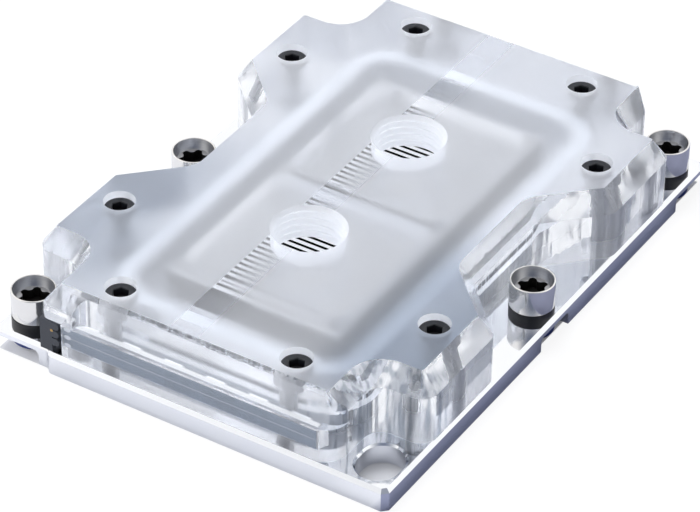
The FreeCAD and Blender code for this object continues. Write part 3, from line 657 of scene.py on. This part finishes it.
def machined(name, dark, light, roughness, marks, depth_mm):
    """Turned metal, with marks that run round the piece. Marks is their pattern's scale on the turning map.

    Roughness is a number, or the pair that the marks span."""
    material, tree = new_material(name)
    around = add(tree, "UVMap", {"uv_map": "turning"})
    stretched = add(tree, "Mapping", Vector=around, Scale=marks)
    lines = add(tree, "TexNoise", Vector=stretched, Scale=1.0, Detail=3.0)
    tint = add(tree, "Mix", COLOUR, _0=lines, _6=linear(dark), _7=linear(light))
    if isinstance(roughness, tuple):
        roughness = add(tree, "MapRange", Value=lines, To_Min=roughness[0], To_Max=roughness[1])
    relief = add(tree, "Bump", Height=lines, Strength=1.0, Distance=depth_mm * MM)
    metal = add(tree, "BsdfPrincipled", Base_Color=tint, Roughness=roughness, Metallic=1.0, Normal=relief)
    add(tree, "OutputMaterial", Surface=metal)
    return material


# The sleeve is bright and slightly warm outside, with fine rings. Its mouth is greyer and rougher, and the
# socket below is steel painted near black, a painted shade where the light misses it.
turned_nickel = machined("turned_nickel", "#E2E0DD", "#F0EFED", roughness=(0.08, 0.2),
                         marks=(3.0, 22.0, 1.0), depth_mm=0.0018)
bored_nickel = machined("bored_nickel", "#97989B", "#C9C9CB", roughness=0.3,
                        marks=(2.0, 30.0, 1.0), depth_mm=0.006)
painted_socket_shade = speckled("socket_painted_shade", "#141414", "#3A3836", roughness=0.4, grain_mm=0.4, metallic=0.6)

# Nylon is a deep matt black, and the acetal a dark blue with a soft sheen. The
# mould's grain on both is finer than 0.1 mm, and is drawn at 0.5 mm.
nylon = speckled("black_nylon", "#0A0A0C", "#141416", roughness=0.45, grain_mm=0.5, depth_mm=0.004)
acetal = speckled("blue_acetal", "#1B2A5C", "#27397A", roughness=0.35, grain_mm=0.5, depth_mm=0.003)

for number, (x, y) in enumerate(NUTS, 1):
    lobes = six_lobes(NUT_COLUMNS, NUT_TURNS[number - 1])
    outside = [(1.0, 5.6), (1.65, 5.6), (1.65, 0.75), (1.8, 0.6), (2.75, 0.6), (2.9, 0.75), (2.9, 5.55),
               (3.8, 5.55), (3.91, 5.58), (3.95, 5.66), (3.95, 10.38), (3.93, 10.46), (3.87, 10.52),
               (3.78, NUT_TOP), (3.7, NUT_TOP)]
    mouth = [(3.62, 10.5), (2.99, 8.8), (2.93, 8.75), (lobes + LOBE_BEVEL, 8.75)]
    socket = [(lobes, 8.67), (lobes, 6.75), (0.3, 6.5)]
    rings = outside + mouth + socket
    mesh = turned("nut_%d" % number, rings, x, y, NUT_COLUMNS)
    smooth(mesh, 32)
    for material in (turned_nickel, painted_socket_shade, bored_nickel):
        mesh.materials.append(material)
    strip = np.arange(len(mesh.polygons)) // NUT_COLUMNS
    bored = (strip >= len(outside)) & (strip < len(outside) + len(mouth))
    # The socket's faces take the near-black painted shade.
    bare = (strip >= len(outside) + len(mouth)) & (strip != len(rings) - 1)
    mesh.polygons.foreach_set("material_index", np.where(bare, 1, np.where(bored, 2, 0)))
    piece("nut_%d_sleeve" % number, mesh, "nut_%d" % number, "nut_steel", "captive_nut_%d" % number)
    dress("nut_washer_%d" % number, nylon)
    dress("retaining_ring_%d" % number, acetal)

# Lit strip: a circuit board on edge in the ledge, its faces under blue-grey
# solder mask and its cut edges bare glass-epoxy, with six packages behind it.

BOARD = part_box("led_board")
BOARD_MIDDLE = (BOARD[0][2] + BOARD[1][2]) / 2
TRACE_HALF = 0.07
MASK_CLOUD = 3.0
WEAVE = 0.3
WEAVE_DEPTH = 0.003

# Solder mask: an even blue-grey with a pale line along it, over the glass
# weave's faint relief. The cut edges are paler.
masked, tree = new_material("solder_mask_board")
place = add(tree, "TexCoord").outputs["Object"]
level = add(tree, "SeparateXYZ", Vector=place).outputs["Z"]
above = add(tree, "Math", {"operation": "SUBTRACT"}, _0=level, _1=BOARD_MIDDLE)
height = add(tree, "Math", {"operation": "ABSOLUTE"}, _0=above)
trace = add(tree, "Math", {"operation": "LESS_THAN"}, _0=height, _1=TRACE_HALF * MM)
clouds = add(tree, "TexNoise", Vector=place, Scale=1 / (MASK_CLOUD * MM), Detail=3.0)
mask = add(tree, "Mix", COLOUR, _0=clouds, _6=linear("#4C5B6B"), _7=linear("#607183"))
lined = add(tree, "Mix", COLOUR, _0=trace, _6=mask, _7=linear("#A3ABB4"))
normal = add(tree, "NewGeometry").outputs["True Normal"]
forward = add(tree, "SeparateXYZ", Vector=normal).outputs["Y"]
front = add(tree, "Math", {"operation": "ABSOLUTE"}, _0=forward)
flat = add(tree, "Math", {"operation": "GREATER_THAN"}, _0=front, _1=0.5)
colour = add(tree, "Mix", COLOUR, _0=flat, _6=linear("#DAD9D4"), _7=lined)
weave = add(tree, "TexNoise", Vector=place, Scale=1 / (WEAVE * MM), Detail=2.0)
relief = add(tree, "Bump", Height=weave, Strength=1.0, Distance=WEAVE_DEPTH * MM)
body = add(tree, "BsdfPrincipled", Base_Color=colour, Roughness=0.42, Normal=relief)
add(tree, "OutputMaterial", Surface=body)
dress("led_board", masked)

# Resin: milky white, so the packages look soft behind the board. Its grain is
# drawn coarser than it is, as on the nylon.
resin = speckled("milky_resin", "#F6F6F3", "#FCFCFA", roughness=0.3, grain_mm=0.5, depth_mm=0.002)
for number in range(1, 7):
    dress("led_%d" % number, resin)

# Header: a black moulded housing with three lugs. Three legs run from it to
# soldered pads on the board's face, and a brass pin shows in its front.

BOARD_LEFT = BOARD[0][0] / MM
BOARD_FRONT = BOARD[0][1] / MM
HEADER_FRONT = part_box("led_header")[0][1] / MM
PAD_LEVELS = (6.35, 7.95, 9.55)
PAD_INSET = 0.85
PAD_HALF_WIDTH = 0.7
PAD_HALF_HEIGHT = 0.42
PAD_RISE = 0.08
PIN = (-26.6, 8.6)
PIN_RADIUS = 0.28
PIN_RISE = 0.1
DOME_RINGS = 8
DOME_COLUMNS = 32


def dome(name, x, y, z, half_width, half_height, rise):
    """Shallow dome on an upright face that looks to -Y.

    Ring s, from 0 at the middle to 1 at the rim, stands off the face by rise * sqrt(1 - s^2)."""
    s = np.linspace(0.15, 1.0, DOME_RINGS)
    columns = DOME_COLUMNS
    angle = np.arange(columns) / columns * 2 * np.pi
    across = x + half_width * s[:, None] * np.cos(angle)
    up = z + half_height * s[:, None] * np.sin(angle)
    off = np.repeat((y - rise * np.sqrt(1 - s ** 2))[:, None], columns, axis=1)
    rings = np.stack([across, off, up], -1).reshape(-1, 3)
    points = np.concatenate([rings, [[x, y - rise, z], [x, y, z]]]) * MM
    i, j = np.meshgrid(np.arange(DOME_RINGS - 1), np.arange(columns), indexing="ij")
    after = (j + 1) % columns
    quads = np.stack([i * columns + j, (i + 1) * columns + j, (i + 1) * columns + after,
                      i * columns + after], -1).reshape(-1, 4)
    j = np.arange(columns)
    after = (j + 1) % columns
    rim = (DOME_RINGS - 1) * columns
    crown = np.stack([j, after, np.full(columns, len(rings))], -1)
    foot = np.stack([rim + after, rim + j, np.full(columns, len(rings) + 1)], -1)
    mesh = bpy.data.meshes.new(name)
    mesh.from_pydata(points.tolist(), [], quads.tolist() + crown.tolist() + foot.tolist())
    smooth(mesh, 50)
    return mesh


# Tinned solder: pale and a little dull, so a pad reads as a bright dot.
tinned = plated("tinned_solder", "#DCDEE0", "#F0F1F2", roughness=0.35, patch_mm=0.6,
                ripple_mm=0.3, ripple_depth_mm=0.004)
for number, level in enumerate(PAD_LEVELS, 1):
    mesh = dome("pad_%d" % number, BOARD_LEFT + PAD_INSET, BOARD_FRONT, level,
                PAD_HALF_WIDTH, PAD_HALF_HEIGHT, PAD_RISE)
    mesh.materials.append(tinned)
    piece("solder_pad_%d" % number, mesh, "block", "contact_metal")

# The housing is a soft black against the brass, which is worn to a dull gold.
housing = speckled("black_header_nylon", "#22252C", "#2E323B", roughness=0.38, grain_mm=0.4, depth_mm=0.003)
dress("led_header", housing)
brass = plated("gold_flashed_brass", "#A98A56", "#C4A26B", roughness=0.25, patch_mm=0.5,
               ripple_mm=0.3, ripple_depth_mm=0.002)
for number in range(1, 4):
    dress("header_leg_%d" % number, brass)
mesh = dome("pin", PIN[0], HEADER_FRONT, PIN[1], PIN_RADIUS, PIN_RADIUS, PIN_RISE)
mesh.materials.append(brass)
piece("header_pin", mesh, "block", "contact_metal")

bpy.context.view_layer.update()
